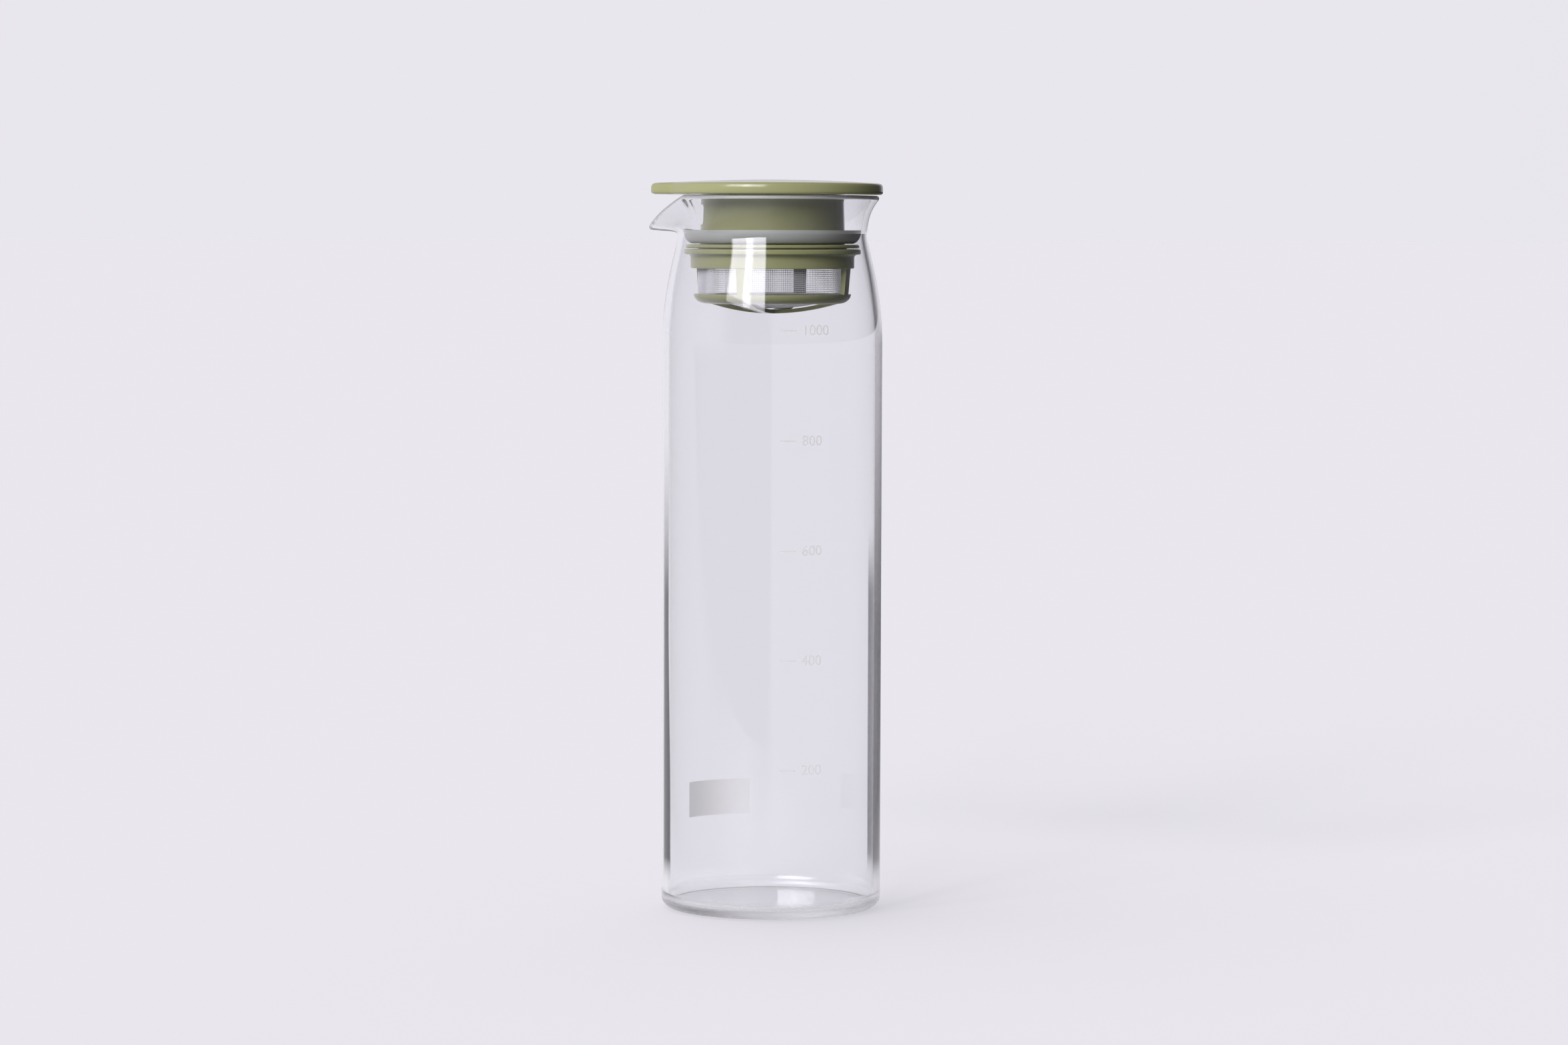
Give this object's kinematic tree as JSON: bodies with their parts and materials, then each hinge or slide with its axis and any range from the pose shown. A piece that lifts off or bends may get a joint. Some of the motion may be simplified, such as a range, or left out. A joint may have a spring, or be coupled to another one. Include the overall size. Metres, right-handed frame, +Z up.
{
  "type": "cold brew tea pitcher",
  "caption": "Tall cylindrical glass carafe with a flared rim and pouring spout, closed by a domed lid whose sleeve carries a silicone seal and a mesh strainer for cold brewing.",
  "frame": {"origin": "centre of the carafe's flat base, on its axis, where it stands on a table", "axes": "+Z up along the carafe's axis; the spout and the lid's tab point to -X"},
  "size_m": [0.0864, 0.0816, 0.27],
  "materials": {
    "clear_glass": "clear heat-proof glass, polished",
    "sage_plastic": "olive green moulded polypropylene, satin gloss",
    "grey_silicone": "translucent grey silicone rubber, matt",
    "woven_mesh": "fine woven polyester mesh"
  },
  "bodies": {
    "carafe": {"glass_carafe": "clear_glass"},
    "seal": {"seal_ring": "grey_silicone"},
    "lid": {"lid_cap": "sage_plastic", "pouring_sleeve": "sage_plastic"},
    "strainer": {"strainer_frame": "sage_plastic", "strainer_side_mesh": "woven_mesh", "strainer_base_mesh": "woven_mesh"}
  },
  "joints": [
    {"name": "lid_lift", "type": "slide", "parent": "carafe", "child": "seal", "axis": [0, 0, 1], "range_m": [0, 0.075]},
    {"name": "lid_turn", "type": "hinge", "parent": "seal", "child": "lid", "pos_m": [0, 0, 0.2459], "axis": [0, 0, 1], "continuous": true},
    {"name": "strainer_pull", "type": "slide", "parent": "lid", "child": "strainer", "axis": [0, 0, -1], "range_m": [0, 0.045]}
  ]
}
